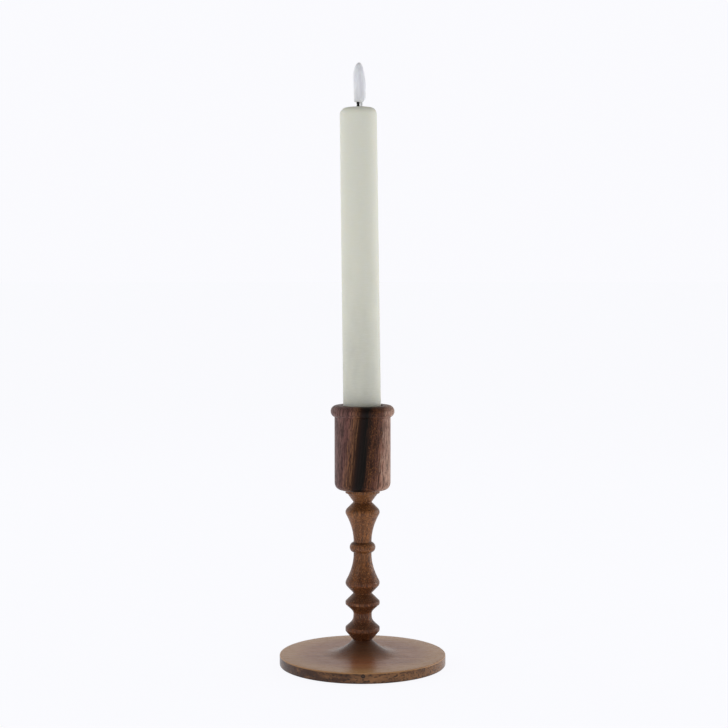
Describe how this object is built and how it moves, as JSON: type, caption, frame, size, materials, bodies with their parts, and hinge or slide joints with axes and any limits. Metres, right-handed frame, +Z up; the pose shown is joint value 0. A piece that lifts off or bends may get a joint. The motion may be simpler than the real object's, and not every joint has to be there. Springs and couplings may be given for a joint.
{
  "type": "wooden candlestick",
  "caption": "Turned wooden candlestick with a disc base, baluster stem and beaded cup, holding a battery-powered taper candle with a moulded flame that lifts out.",
  "frame": {"origin": "centre of the felt pad's underside, on the surface that the candlestick stands on", "axes": "+Z up the stem and the candle; the candle's top leans a little towards -X; -Y is the side shown as the front"},
  "size_m": [0.0992, 0.0992, 0.3579],
  "materials": {
    "felt": "pressed wool felt",
    "base_wood": "oiled wood, satin, straight grain",
    "stem_wood": "oiled wood, satin",
    "cup_wood": "dark walnut, satin",
    "screw_steel": "zinc plated",
    "wax": "real wax, frosted, ivory",
    "tube_plastic": "moulded, plain",
    "battery_jacket": "printed film over a metal can, no marks",
    "contact_brass": "stamped",
    "board_green": "solder mask over glass fibre",
    "chip_black": "moulded package, no marks",
    "wire_red": "insulated lead",
    "wire_black": "insulated lead",
    "wick_black": "moulded black plastic",
    "led_clear": "epoxy dome",
    "flame_frosted": "frosted translucent plastic",
    "cap_plastic": "moulded, ivory",
    "spring_steel": "nickel plated wire",
    "switch_black": "moulded, grooved"
  },
  "bodies": {
    "holder": {"felt_pad": "felt", "base_disc": "base_wood", "base_screw": "screw_steel", "turned_stem": "stem_wood", "candle_cup": "cup_wood"},
    "candle": {"wax_sleeve": "wax", "body_tube": "tube_plastic", "lower_battery": "battery_jacket", "upper_battery": "battery_jacket", "positive_contact": "contact_brass", "circuit_board": "board_green", "timer_chip": "chip_black", "led_wire_red": "wire_red", "led_wire_black": "wire_black", "flame_holder": "tube_plastic", "wick": "wick_black", "led": "led_clear", "flame": "flame_frosted"},
    "cap": {"battery_cap": "cap_plastic", "contact_spring": "spring_steel"},
    "switch": {"switch_knob": "switch_black"}
  },
  "joints": [
    {"name": "candle_lift", "type": "slide", "parent": "holder", "child": "candle", "axis": [-0.0127, 0, 0.9999], "range_m": [0, 0.06]},
    {"name": "cap_twist", "type": "hinge", "parent": "candle", "child": "cap", "pos_m": [0.00015, 0, 0.11902], "axis": [-0.0127, 0, 0.9999], "range_deg": [0, 40]},
    {"name": "switch_slide", "type": "slide", "parent": "cap", "child": "switch", "axis": [0, 1, 0], "range_m": [0, 0.002]}
  ]
}
